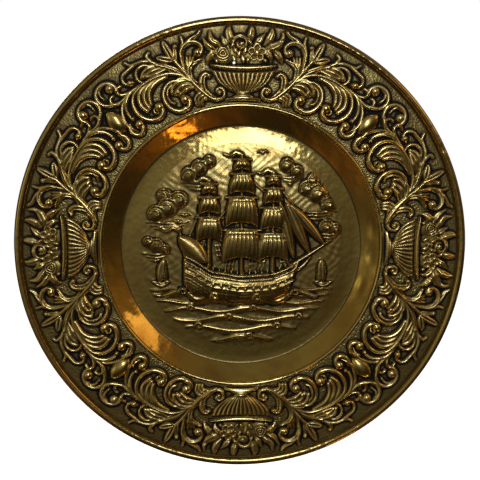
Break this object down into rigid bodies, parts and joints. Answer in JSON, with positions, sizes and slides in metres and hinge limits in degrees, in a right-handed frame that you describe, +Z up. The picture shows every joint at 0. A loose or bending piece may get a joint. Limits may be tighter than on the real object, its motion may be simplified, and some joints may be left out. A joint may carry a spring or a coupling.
{
  "type": "embossed wall plate",
  "caption": "Round embossed brass wall plate with a deep dish, a scroll border with flower vases, a ship in relief on its floor, a rolled edge and a hanging hole.",
  "frame": {"origin": "Centre of the hanging hole, on the back of the sheet, near the top edge of the plate.", "axes": "+Y is the plate's own axis and points at the wall, so the relief faces -Y; +Z is up, through the top vase; +X is to the right as seen from the front."},
  "size_m": [0.5, 0.0275, 0.5],
  "materials": {
    "aged_brass": "pressed brass with dark patina in the recesses and rubbed bright high spots"
  },
  "bodies": {
    "root": {"embossed_plate": "aged_brass"}
  },
  "joints": []
}
